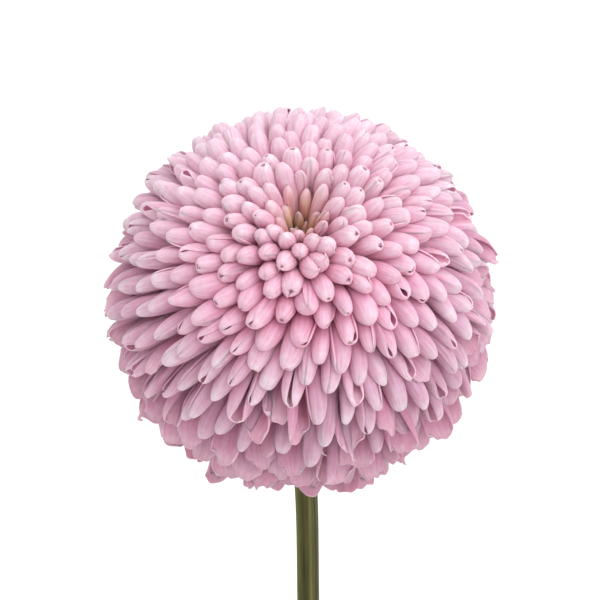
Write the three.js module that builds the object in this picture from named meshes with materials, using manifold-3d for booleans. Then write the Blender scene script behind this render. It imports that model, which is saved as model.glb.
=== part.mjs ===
// Potted chrysanthemum: one ball-shaped pompon bloom on a leafy stem, in a plain moulded plant pot.
// Millimetres, +Z up. The origin is the middle of the pot's foot, on the surface that it stands on.
// The bloom nods towards -Y, which is the front.
import * as THREE from "three";
import { ConvexHull } from "three/addons/math/ConvexHull.js";
import { mergeVertices } from "three/addons/utils/BufferGeometryUtils.js";
import Module from "manifold-3d";

const wasm = await Module();
wasm.setup();

const seatGap = 0.3; // left between pieces that touch

// The pot: a tapered wall, a deep rim band, and a floor with drain holes and channels
const pot = {
  height: 118,
  rimRadius: 65,
  rimDepth: 21,
  shoulderRadius: 60.5,
  footRadius: 44,
  wall: 2.4,
  floor: 4,
  edge: 1.2, // rounding of the rim and the foot
  sides: 40,
};
const drain = { count: 6, ringRadius: 32, holeRadius: 4.5, channelDepth: 1.8, channelWidth: 6, sides: 10 };
const shoulderHeight = pot.height - pot.rimDepth;
const potTaper = (pot.shoulderRadius - pot.footRadius) / shoulderHeight; // widening per unit of height

// The soil fills the pot, with a finger's width under the rim left for watering
const soil = {
  top: 101,
  moundHeight: 3.5, // how much higher it stands at the stem than at the wall
  lumpHeight: 0.9,
  lumpLengths: [15, 17, 20], // of the waves that make its surface uneven
  wallClearance: 0.8,
  rings: 5,
  sides: 36,
};

// The stem: ribbed, upright, and bent forward under the bloom
const stem = { radius: 3.1, ribDepth: 0.35, ribs: 5, rootedDepth: 34, steps: 26 };

// The bloom's head: its middle, and how far it nods
const head = { centre: new THREE.Vector3(-1.5, -31, 392), nod: THREE.MathUtils.degToRad(27) };

// The green cup of bracts that carries the petals. Heights are along the head's axis, from its middle
const calyx = { top: -31.3, bottom: -42.5, topRadius: 10.5, neckRadius: 3.6, bracts: 12, bractRelief: 0.9 };

// The bloom: petals set in a spiral from the crown outwards, each one leaning away from the crown
const bloom = {
  radius: 50,
  crownDip: 13, // how deep the crown is sunk
  crownDipAngle: 7.5, // its spread, in degrees from the crown
  closestSpacing: 2.3,
  widestSpacing: 8.3,
  crownGrowth: 12, // degrees over which the spacing widens fast, beside the crown
  sideGrowth: 60, // degrees over which it widens slowly, down the sides
  crownShare: 0.55, // share of the widening that is the fast one
  lastPetalAngle: 150,
  lean: 34, // most that a petal leans away from straight out, in degrees
  leanOnset: 1.5, // how late the leaning sets in, as a power of the angle's sine
  crownPetal: 11,
  sidePetal: 16,
  lastPetal: 11.5,
  shoulderAt: 0.85, // where along its length a petal is widest
  shoulderFill: 0.88, // share of its room that it fills there
  lastPetalFlatness: 0.62,
  seatDepth: 7.5, // how deep the calyx sits in the underside
  seatAngle: 160, // where that seat's floor begins, in degrees from the crown
};

// Leaves: set in a spiral up the stem, from the soil to well below the bloom. Lengths include the stalk
const leaves = {
  count: 12,
  firstHeight: 116,
  lastHeight: 222,
  firstTurn: 196,
  turn: 137.5,
  longest: 104,
  shortest: 44,
  firstRise: 42, // degrees above level where the lowest one leaves the stem
  lastRise: 54,
};
const leaf = {
  halfWidth: 0.3, // widest half width, as a share of the length
  thickness: 0.9,
  stalkThickness: 2.2,
  stalkShare: 0.24,
  standOff: 0.8, // how far its square end stands off the stem's round side
  droop: 78, // degrees that it bends down from stem to tip
  fold: 16, // degrees that each half is folded up along the midrib
  lobeSweep: 0.42, // how far a lobe's tip is swept forward, as a share of its half width
};
// The leaf's outline, base to tip: share of the length, and half width as a share of the widest
const leafOutline = [
  [0.0, 0.06], [0.12, 0.05], [0.22, 0.07], [0.27, 0.36], [0.33, 0.66], [0.36, 0.7], [0.4, 0.44],
  [0.44, 0.5], [0.49, 0.86], [0.54, 1.0], [0.58, 0.96], [0.61, 0.58], [0.65, 0.6], [0.71, 0.82],
  [0.76, 0.78], [0.79, 0.5], [0.85, 0.53], [0.91, 0.42], [0.96, 0.22], [1.0, 0.03],
];

const colours = {
  petal: 0xe3b3c6,
  leaf: 0x5c7a3c,
  stem: 0x6f7440,
  calyx: 0x6d7f43,
  soil: 0x3d2d22,
  pot: 0xa9603f,
};

function material(colour, roughness) {
  return new THREE.MeshStandardMaterial({ color: colour, roughness, metalness: 0 });
}

function mesh(name, geometry, colour, roughness) {
  const made = new THREE.Mesh(geometry, material(colour, roughness));
  made.name = name;
  return made;
}

// A geometry's closed surface as a solid that can be cut
function solidOf(geometry) {
  const bare = geometry.clone();
  bare.deleteAttribute("normal");
  bare.deleteAttribute("uv");
  const merged = mergeVertices(bare, 1e-4);
  return new wasm.Manifold(
    new wasm.Mesh({
      numProp: 3,
      vertProperties: merged.attributes.position.array,
      triVerts: new Uint32Array(merged.index.array),
    }),
  );
}

function geometryOf(solid) {
  const cut = solid.getMesh();
  const made = new THREE.BufferGeometry();
  made.setAttribute("position", new THREE.BufferAttribute(cut.vertProperties, 3));
  made.setIndex(new THREE.BufferAttribute(cut.triVerts, 1));
  return made;
}

function indexedGeometry(points, triangles) {
  const made = new THREE.BufferGeometry();
  made.setAttribute("position", new THREE.Float32BufferAttribute(points.flatMap((p) => p.toArray()), 3));
  made.setIndex(triangles.flat());
  return made;
}

// A solid of revolution about +Z, from a profile of [radius, height]
function turned(profile, sides) {
  const points = profile.map(([radius, height]) => new THREE.Vector2(radius, height));
  return new THREE.LatheGeometry(points, sides).rotateX(Math.PI / 2);
}

// A prism or cylinder standing along +Z
function post(radius, height, sides) {
  return new THREE.CylinderGeometry(radius, radius, height, sides).rotateX(Math.PI / 2);
}

// Pot

function makePot() {
  const { height, rimRadius, shoulderRadius, footRadius, wall, floor, edge } = pot;
  const insideAtFloor = footRadius + potTaper * floor - wall;
  let solid = solidOf(
    turned(
      [
        [0, 0],
        [footRadius - edge, 0],
        [footRadius, edge],
        [shoulderRadius, shoulderHeight],
        [rimRadius - edge, shoulderHeight + edge / 3],
        [rimRadius - edge / 2, shoulderHeight + edge],
        [rimRadius, height - edge],
        [rimRadius - edge, height],
        [rimRadius - wall, height],
        [rimRadius - wall - edge, height - edge],
        [rimRadius - wall - edge, shoulderHeight + wall],
        [shoulderRadius - wall, shoulderHeight - wall],
        [insideAtFloor, floor + wall],
        [insideAtFloor - wall, floor],
        [0, floor],
      ],
      pot.sides,
    ),
  );
  const { count, ringRadius, holeRadius, channelDepth, channelWidth, sides } = drain;
  const channelLength = footRadius - ringRadius + 2 * edge;
  for (let i = 0; i < count; i++) {
    const turn = (i / count) * 2 * Math.PI;
    const hole = post(holeRadius, 4 * floor, sides).translate(ringRadius, 0, 0);
    const channel = new THREE.BoxGeometry(channelLength, channelWidth, 2 * channelDepth);
    channel.translate(ringRadius + channelLength / 2, 0, 0);
    for (const cutter of [hole, channel]) solid = solid.subtract(solidOf(cutter.rotateZ(turn)));
  }
  return mesh("pot", geometryOf(solid), colours.pot, 0.6);
}

// Soil

// How far the surface stands above or below its mound, from three crossing waves
function lumpAt(x, y) {
  const [first, second, third] = soil.lumpLengths.map((length) => (2 * Math.PI) / length);
  return soil.lumpHeight * (Math.sin(first * x) * Math.cos(second * y) + Math.sin(third * (x - y)));
}

function makeSoil() {
  const { wall, floor, footRadius, rimRadius } = pot;
  const wallRadius = (z) => footRadius + potTaper * z - wall - soil.wallClearance;
  const bottom = floor + seatGap;
  const belowShoulder = shoulderHeight - 2 * wall;
  const edge = rimRadius - wall - pot.edge - soil.wallClearance;
  const profile = [
    [0, bottom],
    [wallRadius(bottom) - wall, bottom],
    [wallRadius(bottom + wall), bottom + wall],
    [wallRadius(belowShoulder), belowShoulder],
  ];
  for (let i = 0; i <= soil.rings; i++) {
    const share = 1 - i / soil.rings;
    profile.push([edge * share, soil.top + soil.moundHeight * (1 - share ** 2)]);
  }
  const geometry = turned(profile, soil.sides);
  const places = geometry.getAttribute("position");
  for (let i = 0; i < places.count; i++) {
    const [x, y, z] = [places.getX(i), places.getY(i), places.getZ(i)];
    const fromStem = Math.hypot(x, y) / (4 * stem.radius);
    if (z >= soil.top - seatGap) places.setZ(i, z + lumpAt(x, y) * Math.min(1, fromStem));
  }
  const hole = post(stem.radius + seatGap, 2 * stem.rootedDepth, 16);
  hole.translate(0, 0, soil.top + soil.moundHeight);
  const bored = solidOf(geometry).subtract(solidOf(hole));
  return mesh("soil", geometryOf(bored), colours.soil, 0.95);
}

// Stem

const headAxis = new THREE.Vector3(0, -Math.sin(head.nod), Math.cos(head.nod));

function onHeadAxis(distance) {
  return head.centre.clone().addScaledVector(headAxis, distance);
}

// The stem's middle line, from its rooted end to the seat under the calyx
function stemLine() {
  const foot = soil.top + soil.moundHeight - stem.rootedDepth + seatGap;
  const top = onHeadAxis(calyx.bottom - seatGap);
  return new THREE.CatmullRomCurve3(
    [
      new THREE.Vector3(0, 0, foot),
      new THREE.Vector3(0, 0, soil.top + 4),
      new THREE.Vector3(0.8, 0.5, 160),
      new THREE.Vector3(0.9, 1.2, 215),
      new THREE.Vector3(0.4, 1.3, 270),
      new THREE.Vector3(-0.1, 0.1, 305),
      onHeadAxis(calyx.bottom - 27).add(new THREE.Vector3(0, -2.2, 0)),
      onHeadAxis(calyx.bottom - 12),
      top,
    ],
    false,
    "centripetal",
  );
}

function makeStem() {
  const corners = [];
  for (let i = 0; i < 2 * stem.ribs; i++) {
    const turn = (i / stem.ribs) * Math.PI;
    const radius = stem.radius - (i % 2) * stem.ribDepth;
    corners.push(new THREE.Vector2(radius * Math.cos(turn), radius * Math.sin(turn)));
  }
  const geometry = new THREE.ExtrudeGeometry(new THREE.Shape(corners), {
    steps: stem.steps,
    extrudePath: stemLine(),
  });
  return mesh("stem", geometryOf(solidOf(geometry)), colours.stem, 0.55);
}

// Calyx: two rows of overlapping bracts, as relief on a turned cup

function makeCalyx() {
  const { top, bottom, topRadius, neckRadius, bracts, bractRelief } = calyx;
  const rise = top - bottom;
  const profile = [
    [0, bottom],
    [neckRadius, bottom],
    [topRadius * 0.62, bottom + rise * 0.16],
    [topRadius * 0.92, bottom + rise * 0.4],
    [topRadius * 0.84, bottom + rise * 0.48],
    [topRadius, bottom + rise * 0.84],
    [topRadius * 0.9, top],
    [0, top],
  ];
  const geometry = turned(profile, 2 * bracts);
  const places = geometry.getAttribute("position");
  for (let i = 0; i < places.count; i++) {
    const [x, y, z] = [places.getX(i), places.getY(i), places.getZ(i)];
    const radius = Math.hypot(x, y);
    if (radius < neckRadius + 0.1) continue;
    const row = z > bottom + rise * 0.45 ? Math.PI : 0;
    const scale = 1 + (bractRelief / topRadius) * Math.cos(bracts * Math.atan2(y, x) + row);
    places.setXY(i, x * scale, y * scale);
  }
  return mesh("calyx", geometryOf(solidOf(geometry)), colours.calyx, 0.6);
}

// Bloom

const degrees = THREE.MathUtils.degToRad;

// How far apart petal tips stand at an angle from the crown
function petalSpacing(angle) {
  const { closestSpacing, widestSpacing, crownGrowth, sideGrowth, crownShare } = bloom;
  const fast = crownShare * Math.exp(-angle / degrees(crownGrowth));
  const slow = (1 - crownShare) * Math.exp(-angle / degrees(sideGrowth));
  return widestSpacing - (widestSpacing - closestSpacing) * (fast + slow);
}

// Angles from the crown at which the spiral sets one tip after another, out to the stem's side
function spiralAngles() {
  const angles = [];
  const step = degrees(0.05);
  let room = 0.5;
  for (let angle = step / 2; angle < Math.PI; angle += step) {
    const hexagon = (Math.sqrt(3) / 2) * petalSpacing(angle) ** 2;
    room += (2 * Math.PI * bloom.radius ** 2 * Math.sin(angle) * step) / hexagon;
    if (room < 1) continue;
    room -= 1;
    angles.push(angle);
  }
  return angles;
}

function tipRadius(angle) {
  return bloom.radius - bloom.crownDip * Math.exp(-((angle / degrees(bloom.crownDipAngle)) ** 2));
}

// Petal length from core to tip. Past the last petal it is the depth of the calyx's seat.
function petalLength(angle) {
  const { crownPetal, sidePetal, lastPetal, lastPetalAngle, seatDepth, seatAngle } = bloom;
  if (angle < Math.PI / 2) return crownPetal + (sidePetal - crownPetal) * Math.sin(angle);
  const past = (angle - Math.PI / 2) / (degrees(lastPetalAngle) - Math.PI / 2);
  const seat = seatDepth * THREE.MathUtils.smoothstep(angle, degrees(lastPetalAngle), degrees(seatAngle));
  return sidePetal + (lastPetal - sidePetal) * Math.min(1, past) + seat;
}

// The direction at an angle from the crown and a turn about it
function directionAt(angle, turn) {
  const flat = Math.sin(angle);
  return new THREE.Vector3(flat * Math.cos(turn), flat * Math.sin(turn), Math.cos(angle));
}

// A point on the petal that stands in a direction from the bloom's middle: 0 is its base and 1 its tip
function alongPetal(direction, share) {
  const angle = Math.acos(THREE.MathUtils.clamp(direction.z, -1, 1));
  const turn = Math.atan2(direction.y, direction.x);
  const tip = directionAt(angle, turn).multiplyScalar(tipRadius(angle));
  const petalAxis = directionAt(angle + degrees(bloom.lean) * Math.sin(angle) ** bloom.leanOnset, turn);
  return tip.addScaledVector(petalAxis, (share - 1) * petalLength(angle));
}

// The bloom is one closed surface. The tips share out the ball as touching cells, whose corners are the
// normals of the hull round the tips. Each cell's floor is core, and its petal rises from it as a pod.
function makeBloom() {
  const goldenAngle = Math.PI * (3 - Math.sqrt(5));
  const angles = spiralAngles();
  const tips = angles.map((angle, i) => {
    const tip = directionAt(angle, i * goldenAngle);
    tip.cellCorners = [];
    return tip;
  });
  const points = [];
  const triangles = [];
  const corners = [];
  for (const face of new ConvexHull().setFromPoints(tips).faces) {
    const corner = { place: face.normal.clone(), index: points.length };
    points.push(alongPetal(corner.place, 0));
    corners.push(corner);
    for (let side = 0; side < 3; side++) face.getEdge(side).head().point.cellCorners.push(corner);
  }
  tips.forEach((tip, i) => addPetal(tip, angles[i], points, triangles));
  return mesh("bloom", indexedGeometry(points, triangles), colours.petal, 0.6);
}

function addPetal(tip, angle, points, triangles) {
  const outwards = new THREE.Vector3(tip.x * tip.z, tip.y * tip.z, tip.z * tip.z - 1).normalize();
  const sideways = new THREE.Vector3().crossVectors(tip, outwards);
  const turnOf = (corner) => Math.atan2(corner.place.dot(sideways), corner.place.dot(outwards));
  const cell = tip.cellCorners.sort((a, b) => turnOf(a) - turnOf(b));
  const isPetal = angle < degrees(bloom.lastPetalAngle);
  if (!isPetal) {
    const middle = points.length;
    points.push(alongPetal(tip, 0));
    cell.forEach((corner, j) => triangles.push([corner.index, cell[(j + 1) % cell.length].index, middle]));
    return;
  }
  // Petals past the widest part of the ball flatten into straps
  const older = THREE.MathUtils.smoothstep(angle, degrees(85), degrees(bloom.lastPetalAngle));
  const thickness = bloom.shoulderFill * (1 - older * (1 - bloom.lastPetalFlatness));
  const middle = alongPetal(tip, bloom.shoulderAt);
  const shoulder = points.length;
  for (const corner of cell) {
    const reach = alongPetal(corner.place, bloom.shoulderAt).sub(middle);
    const across = sideways.clone().multiplyScalar(reach.dot(sideways));
    const rest = reach.clone().sub(across);
    points.push(middle.clone().addScaledVector(across, bloom.shoulderFill).addScaledVector(rest, thickness));
  }
  const apex = points.length;
  points.push(alongPetal(tip, 1));
  cell.forEach((corner, j) => {
    const next = (j + 1) % cell.length;
    triangles.push([corner.index, cell[next].index, shoulder + next]);
    triangles.push([corner.index, shoulder + next, shoulder + j]);
    triangles.push([shoulder + j, shoulder + next, apex]);
  });
}

// Leaves

// Joins rings of corners into one closed skin. Panels of the second half turn their diagonal the other
// way, so that a thin blade's two faces are split alike.
function loft(rings) {
  const count = rings[0].length;
  const triangles = [];
  for (let k = 0; k + 1 < rings.length; k++) {
    for (let j = 0; j < count; j++) {
      const [a, b] = [k * count + j, k * count + ((j + 1) % count)];
      const [c, d] = [b + count, a + count];
      if (j < count / 2) triangles.push([a, b, c], [a, c, d]);
      else triangles.push([a, b, d], [b, c, d]);
    }
  }
  const last = (rings.length - 1) * count;
  for (let j = 1; j + 1 < count; j++) {
    triangles.push([0, j + 1, j]);
    triangles.push([last, last + j, last + j + 1]);
  }
  return indexedGeometry(rings.flat(), triangles);
}

// A lobed blade on its stalk, leaving the origin along +X and arching over
function leafGeometry(length, rise) {
  const rings = [];
  const place = new THREE.Vector2(0, 0);
  let travelled = 0;
  for (const [share, widthShare] of leafOutline) {
    const slope = degrees(rise - leaf.droop * share ** 0.9);
    const step = (share - travelled) * length;
    place.add(new THREE.Vector2(Math.cos(slope), Math.sin(slope)).multiplyScalar(step));
    travelled = share;
    const half = Math.max(widthShare * leaf.halfWidth * length, share < leaf.stalkShare ? 1.2 : 0.3);
    const inBlade = THREE.MathUtils.smoothstep(share, leaf.stalkShare - 0.05, leaf.stalkShare + 0.12);
    const thickness = leaf.stalkThickness + (leaf.thickness - leaf.stalkThickness) * inBlade;
    const sweep = leaf.lobeSweep * half * inBlade;
    const lift = half * Math.tan(degrees(leaf.fold)) * inBlade;
    const corner = (side, up) => {
      const forward = sweep * Math.abs(side);
      const normal = lift * Math.abs(side) + (up * thickness) / 2;
      return new THREE.Vector3(
        place.x + forward * Math.cos(slope) - normal * Math.sin(slope),
        side * half,
        place.y + forward * Math.sin(slope) + normal * Math.cos(slope),
      );
    };
    rings.push([corner(1, 1), corner(0, 1), corner(-1, 1), corner(-1, -1), corner(0, -1), corner(1, -1)]);
  }
  return loft(rings);
}

function makeLeaves() {
  const steps = stemLine().getSpacedPoints(200);
  const clear = stem.radius + leaf.standOff + seatGap;
  const made = [];
  for (let i = 0; i < leaves.count; i++) {
    const share = i / (leaves.count - 1);
    const z = THREE.MathUtils.lerp(leaves.firstHeight, leaves.lastHeight, share);
    const length = THREE.MathUtils.lerp(leaves.longest, leaves.shortest, share ** 1.7);
    const rise = THREE.MathUtils.lerp(leaves.firstRise, leaves.lastRise, share);
    const turn = degrees(leaves.firstTurn + leaves.turn * i);
    const at = steps.find((p) => p.z >= z);
    const name = `leaf_${String(i + 1).padStart(2, "0")}`;
    const blade = mesh(name, leafGeometry(length, rise), colours.leaf, 0.6);
    blade.rotation.z = turn;
    blade.position.set(at.x + clear * Math.cos(turn), at.y + clear * Math.sin(turn), z);
    made.push(blade);
  }
  return made;
}

const plant = new THREE.Group();
plant.add(makePot(), makeSoil(), makeStem());
for (const blade of makeLeaves()) plant.add(blade);

const headGroup = new THREE.Group();
headGroup.position.copy(head.centre);
headGroup.rotation.x = head.nod;
headGroup.add(makeCalyx(), makeBloom());
plant.add(headGroup);

export default plant;
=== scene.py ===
import bisect
import math
import random
import bmesh
import bpy
from mathutils import Euler, Matrix, Vector, noise


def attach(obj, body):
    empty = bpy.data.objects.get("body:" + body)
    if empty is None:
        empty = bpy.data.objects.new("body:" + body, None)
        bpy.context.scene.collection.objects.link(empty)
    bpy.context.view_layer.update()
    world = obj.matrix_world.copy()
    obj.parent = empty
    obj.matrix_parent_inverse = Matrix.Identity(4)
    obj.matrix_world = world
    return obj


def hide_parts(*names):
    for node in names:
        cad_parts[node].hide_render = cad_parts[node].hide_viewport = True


# A potted pompon chrysanthemum. Everything is in metres in the frame of the CAD solids, +Z up, front is -Y.
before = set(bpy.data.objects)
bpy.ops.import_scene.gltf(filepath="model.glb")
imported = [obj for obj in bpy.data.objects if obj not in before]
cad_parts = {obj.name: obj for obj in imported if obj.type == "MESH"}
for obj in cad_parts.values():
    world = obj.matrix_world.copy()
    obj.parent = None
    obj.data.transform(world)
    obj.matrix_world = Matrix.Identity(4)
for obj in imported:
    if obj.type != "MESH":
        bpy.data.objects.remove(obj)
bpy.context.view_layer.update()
mm = 0.001
goldenAngle = math.pi * (3 - math.sqrt(5))


# Small helpers

def mix(low, high, share):
    return low + (high - low) * share


def smoothStep(value, low, high):
    share = min(1.0, max(0.0, (value - low) / (high - low)))
    return share * share * (3 - 2 * share)


def curveValue(points, at):  # height of a soft line through sorted [at, height] points
    for (x0, y0), (x1, y1) in zip(points, points[1:]):
        if at <= x1:
            return mix(y0, y1, smoothStep(at, x0, x1))
    return points[-1][1]


def linearColour(hexText):  # sRGB hex to the linear values that sockets take
    values = []
    for place in (1, 3, 5):
        channel = int(hexText[place:place + 2], 16) / 255
        values.append(channel / 12.92 if channel <= 0.04045 else ((channel + 0.055) / 1.055) ** 2.4)
    return (*values, 1.0)


def outputOf(source):  # a node stands for its first output
    return source.outputs[0] if isinstance(source, bpy.types.Node) else source


def addNode(tree, kind, settings):  # a setting that is a node or one of its outputs gets linked
    node = tree.nodes.new("ShaderNode" + kind)
    for name, value in settings.items():
        value = outputOf(value)
        if isinstance(value, bpy.types.NodeSocket):
            tree.links.new(value, node.inputs[name])
        elif name == "stops":  # colours or grey levels, from 0 to 1 along a ramp
            ramp = node.color_ramp.elements
            while len(ramp) < len(value):
                ramp.new(0.5)
            for element, (place, colour) in zip(ramp, value):
                element.position = place
                element.color = linearColour(colour) if isinstance(colour, str) else (*[colour] * 3, 1.0)
        elif isinstance(name, int) or name in node.inputs:
            node.inputs[name].default_value = value
        else:
            setattr(node, name, value)
    return node


def newMaterial(name, settings):  # a Principled material with its constants set on the shader itself
    material = bpy.data.materials.new(name)
    material.use_nodes = True
    tree = material.node_tree
    tree.nodes.clear()
    shader = addNode(tree, "BsdfPrincipled", settings)
    addNode(tree, "OutputMaterial", {"Surface": shader})
    return material, tree, shader


def layTints(tree, colour, layers):  # lays tints over a colour, each with its blend, its amount and itself
    for blend, amount, tint in layers:
        settings = {"data_type": "RGBA", "blend_type": blend, 0: amount, 6: colour, 7: tint}
        colour = addNode(tree, "Mix", settings).outputs[2]
    return colour


def finishSurface(tree, shader, colour, height, depth, strength):  # the last colour, and relief from a height
    bump = addNode(tree, "Bump", {"Height": height, "Distance": depth, "Strength": strength})
    tree.links.new(outputOf(colour), shader.inputs["Base Color"])
    tree.links.new(bump.outputs["Normal"], shader.inputs["Normal"])


def unique(parts):  # in the order that they come, so that each run makes the same mesh
    return list(dict.fromkeys(parts))


def floatLayers(shape, names):
    return {name: shape.verts.layers.float.new(name) for name in names}


def spinProfile(shape, profile, sides):  # turns a line of (radius, height) once round +Z
    line = [shape.verts.new((radius, 0, height)) for radius, height in profile]
    edges = [shape.edges.new(pair) for pair in zip(line, line[1:])]
    bmesh.ops.spin(
        shape, geom=line + edges, cent=(0, 0, 0), axis=(0, 0, 1), angle=math.tau, steps=sides, use_merge=True,
    )
    bmesh.ops.remove_doubles(shape, verts=shape.verts, dist=1e-7)
    bmesh.ops.recalc_face_normals(shape, faces=shape.faces)


def growTube(shape, layers, sides, rings, pointAt):  # a closed tube with its skin at pointAt(share, turn)
    ring = bmesh.ops.create_circle(shape, segments=sides, radius=1)["verts"]
    edges = unique(edge for vertex in ring for edge in vertex.link_edges)
    ends = [edges]
    tube = []
    for vertex in ring:
        vertex[layers["turn"]] = math.atan2(vertex.co.y, vertex.co.x)
    for step in range(rings + 1):
        if step:
            grown = bmesh.ops.extrude_edge_only(shape, edges=edges)["geom"]
            ring = [part for part in grown if isinstance(part, bmesh.types.BMVert)]
            edges = [part for part in grown if isinstance(part, bmesh.types.BMEdge) and part.is_boundary]
        for vertex in ring:
            vertex[layers["along"]] = step / rings
            vertex.co = pointAt(step / rings, vertex[layers["turn"]])
        tube += ring
    ends.append(edges)
    for edges in ends:
        bmesh.ops.edgeloop_fill(shape, edges=edges)
    bmesh.ops.recalc_face_normals(shape, faces=unique(face for vertex in tube for face in vertex.link_faces))
    return tube


def toMesh(name, shape):
    mesh = bpy.data.meshes.new(name)
    shape.to_mesh(mesh)
    shape.free()
    return mesh


def addObject(name, data):
    item = bpy.data.objects.new(name, data)
    bpy.context.scene.collection.objects.link(item)
    return item


def makePiece(name, shape, materials, node, modifiers=()):  # a smooth piece that stands for a CAD node
    mesh = toMesh(name, shape)
    for material in materials:
        mesh.materials.append(material)
    mesh.polygons.foreach_set("use_smooth", [True] * len(mesh.polygons))
    piece = addObject(name, mesh)
    for kind, settings in modifiers:
        modifier = piece.modifiers.new(kind.title(), kind)
        for setting, value in settings.items():
            setattr(modifier, setting, value)
    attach(piece, "root")
    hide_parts(node)
    return piece


# Head: where the bloom and its cup sit, from the same values as the solids

head = {
    "centre": Vector((-1.5, -31, 392)) * mm,
    "nod": math.radians(27),
}
headPlace = Matrix.Translation(head["centre"]) @ Matrix.Rotation(head["nod"], 4, "X")

# Bloom

bloom = {
    "radius": 50 * mm,
    "tipInset": 1.5 * mm,          # leaves room for the petals' own fullness
    "crownDip": 15 * mm,           # how deep the crown is sunk
    "crownDipAngle": 7.3,          # its spread, in degrees from the crown
    "crownDipPower": 2.6,          # how steep its sides are
    "closestSpacing": 2.3 * mm,    # of petals, in the crown
    "widestSpacing": 8.3 * mm,
    "crownGrowth": 12,             # degrees over which the spacing widens fast, beside the crown
    "sideGrowth": 42,              # degrees over which it widens slowly, down the sides
    "crownShare": 0.55,            # how much of the widening is the fast one
    "lastPetalAngle": 150,
    "scatter": 0.09,               # how far petals stray from the spiral, as a share of their spacing
    "ropes": (5, 8, 13, 21, 34, 55),     # families of spirals in which petals can line up behind one another
    "ropeWidth": 0.93,             # the width that a rope should have, as a share of the spacing
    "ropeChoice": 0.16,            # how far from it the chosen ropes' widths may lie
    "ropeTrust": 0.6,              # how far the petals take on the ropes' own width
    "ropeSlant": 0.35,             # and their sideways slant
    "young": (4, 12),              # degrees over which the crown's unripe petals give way to pink ones
    "pores": (9, 14, 50, 70),      # degrees where quills that end in a pore begin, abound, thin out and stop
    "poreShare": 0.33,             # of the quills, where they abound
    "opening": (69, 98),           # degrees over which petals open
    "openingScatter": 12,
    "seams": (28, 45),             # degrees over which seams come round from the far side to the near one
    "seamsAway": (0.75, 0.2),      # share of the quills with the seam on the far side, before and after that
    "slits": (22, 45),             # degrees over which seams begin to gape near the tip
    "paintedLightHeights": (0.2, 0.96),         # heights over the bloom's middle between which the painted top light grows, in radii
    "pieceEnds": (40, 66, 92, 106, 122, 180),
    "seed": 11,
}
petal = {                          # a pair is for closed quills and for opened petals, or least and most
    "across": 7,                   # faces over the width, before smoothing
    "along": 7,
    "thickness": 0.32 * mm,
    "quillWidth": 5.2 * mm,
    "crowding": 1.2,               # how much wider than its rope a quill is, past the next angle
    "crowdedFrom": 11,
    "openWidth": 1.12,             # an opened petal's width, as a share of the spacing
    "youngRoot": 0.55,             # the root's width in the crown, as a share of the widest
    "shaft": 0.32,                 # share of the skin's rows that make the slim shaft
    "belly": (0.64, 0.56),         # share of the length at which the rounded end begins
    "bluntness": [(0, 1.2), (10, 1.15), (16, 0.8), (26, 0.62), (60, 0.85), (90, 0.8)],  # less is blunter
    "openBluntness": (0.5, 1.1),   # least, most
    "bluntnessScatter": 0.1,
    "capTurn": 89.6,               # degrees of arc in the rounded end
    "openCapTurn": (50, 64),       # least, most
    "lap": (0.65, 0.92),           # where along the length the edges stop overlapping
    "lapSide": (-0.07, 0.07),      # which edge goes under, and how far in
    "slit": (0.11, 0.1),           # mean and scatter of how wide a seam gapes
    "slitAt": (0.74, 0.92),        # least, most: where along the length
    "slitLength": 0.13,
    "pore": 0.22,                  # how deep a pore is, as a share of the half width
    "noPore": 0.02,
    "tipScatter": (0.4, 1.2),      # mm in and out
    "bendScatter": (4, 9),         # degrees
    "slantScatter": (5, 9),
    "rollScatter": (50, 25),
    "lengthScatter": (0.02, 0.06),
    "widthScatter": 0.08,
    "squash": ((0.85, 1.0), (-0.4, 0.4)),    # least, most of each: how deep its section is, and to which side
    "hood": 0.35,                  # the most that a quill's tip leans in, as a share of the half width
    "skew": 0.12,                  # scatter of how far its tip leans sideways
    "facets": (0.02, 0.08),        # least, most: three soft flats round it
    "ragged": (0.3, 1.3),          # least, most: an opened tip's teeth, in mm
    "quillRagged": 0.05,
    "notch": 2.8,                  # mm at most, in an opened tip
    "notchAt": 0.6,                # the furthest that it lies from the middle, as a share of the half width
    "wave": (0.3, 1.0),            # least, most: along an opened petal's edges, in mm
    "quillWave": 0.1,
    "values": ("along", "age", "young", "tone", "sun", "mark"),    # what its skin stores for its material
}
# Two kinds of petal share the spiral. Each line is [degrees from the crown, value]. A lean is in degrees from
# straight outwards, towards the stem, and a petal bends from its root's lean to its tip's. Lengths are in mm,
# and so is the tuck, which draws a tip in
hanging = {                        # from the core, bending over towards the stem
    "from": 0,
    "to": 117,
    "rootLean": [(0, 0), (40, 4), (90, 8), (117, 2)],
    "tipLean": [(0, -4), (10, 4), (22, 22), (40, 45), (60, 57), (90, 65), (117, 44)],
    "lengths": [(0, 13.5), (22, 17.5), (60, 22), (90, 23.5), (117, 29)],
    "tuck": [(0, 0), (80, 0), (117, -0.9)],
    "rootWidth": 1.0,
}
spreading = {                      # from the calyx, along the underside and up inside the hanging ones
    "from": 97,
    "to": 150,
    "rootLean": [(97, -52), (113, -73), (120, -78), (135, -70), (150, -55)],
    "tipLean": [(97, -42), (113, -8), (120, 5), (135, 5), (150, 15)],
    "lengths": [(97, 45), (113, 38), (120, 37), (135, 30), (150, 22.5)],
    "tuck": [(97, 6), (117, -0.9), (135, 0)],
    "rootWidth": 0.45,
}
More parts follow.
